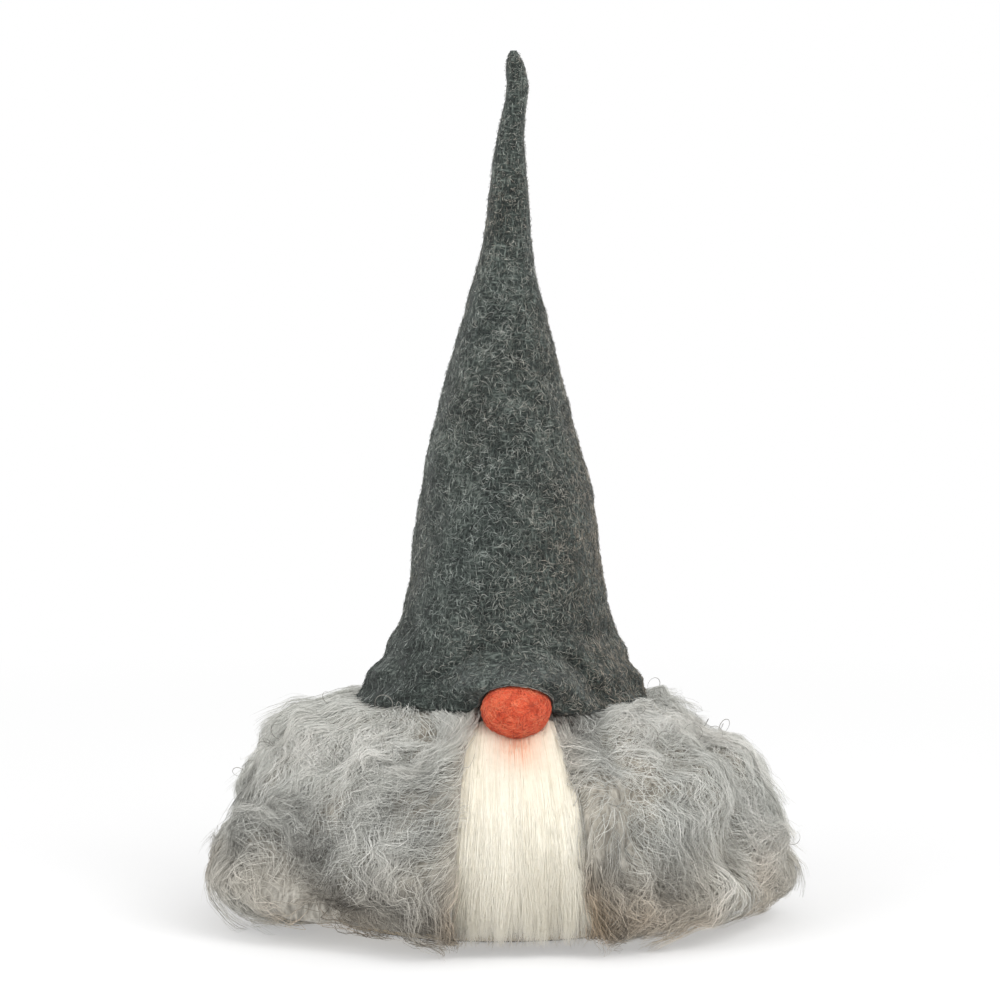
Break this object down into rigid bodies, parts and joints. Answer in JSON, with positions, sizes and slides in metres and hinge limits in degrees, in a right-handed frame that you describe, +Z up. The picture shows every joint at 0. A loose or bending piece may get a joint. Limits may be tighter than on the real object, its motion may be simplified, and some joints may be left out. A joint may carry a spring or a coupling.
{
  "type": "tomte gnome figurine",
  "caption": "Standing gnome figurine with a tall bendable felted hat, ball nose, hanging wool beard and a round weighted body in a shaggy sheepskin coat.",
  "frame": {"origin": "centre of the sole, on the table", "axes": "+Z up to the hat's tip, -Y the front, where the nose and the beard are, +X the gnome's left"},
  "size_m": [0.2, 0.1678, 0.2935],
  "materials": {
    "sole_felt": "matte",
    "sewing_thread": "matte",
    "board": "matte",
    "bag_cotton": "matte",
    "plastic_pellets": "matte",
    "stuffing_wool": "matte",
    "cord": "matte",
    "hide": "matte",
    "grey_wool": "matte",
    "cream_wool": "matte",
    "nose_felt": "matte",
    "hat_felt": "matte"
  },
  "bodies": {
    "body": {"sole_felt": "sole_felt", "sole_stitches": "sewing_thread", "base_board": "board", "weight_bag": "bag_cotton", "weight_fill": "plastic_pellets", "inner_bag": "bag_cotton", "body_stuffing": "stuffing_wool", "drawstring": "cord", "left_hide": "hide", "right_hide": "hide", "left_fleece": "grey_wool", "right_fleece": "grey_wool", "front_seam": "sewing_thread", "back_seam": "sewing_thread", "beard_strip": "hide", "beard_stitches": "sewing_thread", "beard_crown": "cream_wool", "nose_ball": "nose_felt", "nose_thread": "sewing_thread", "hat_cone": "hat_felt", "hat_stuffing": "stuffing_wool", "hat_stitches": "sewing_thread"},
    "beard": {"beard_fall": "cream_wool"},
    "hat_bend": {"hat_middle": "hat_felt"},
    "hat_neck": {"hat_upper": "hat_felt"},
    "hat_end": {"hat_tip": "hat_felt"}
  },
  "joints": [
    {"name": "hat_lean", "type": "hinge", "parent": "body", "child": "hat_bend", "pos_m": [0, 0, 0.17], "axis": [0, 1, 0], "range_deg": [-30, 30], "stiffness_Nm_per_rad": 0.03},
    {"name": "hat_nod", "type": "hinge", "parent": "hat_bend", "child": "hat_neck", "pos_m": [0.0005, 0, 0.213], "axis": [1, 0, 0], "range_deg": [-25, 25], "stiffness_Nm_per_rad": 0.008},
    {"name": "hat_tip_curl", "type": "hinge", "parent": "hat_neck", "child": "hat_end", "pos_m": [0.0018, 0, 0.262], "axis": [0, 1, 0], "range_deg": [-40, 55], "stiffness_Nm_per_rad": 0.001},
    {"name": "beard_lift", "type": "hinge", "parent": "body", "child": "beard", "pos_m": [0, -0.057, 0.056], "axis": [-1, 0, 0], "range_deg": [0, 60], "stiffness_Nm_per_rad": 0.002}
  ]
}
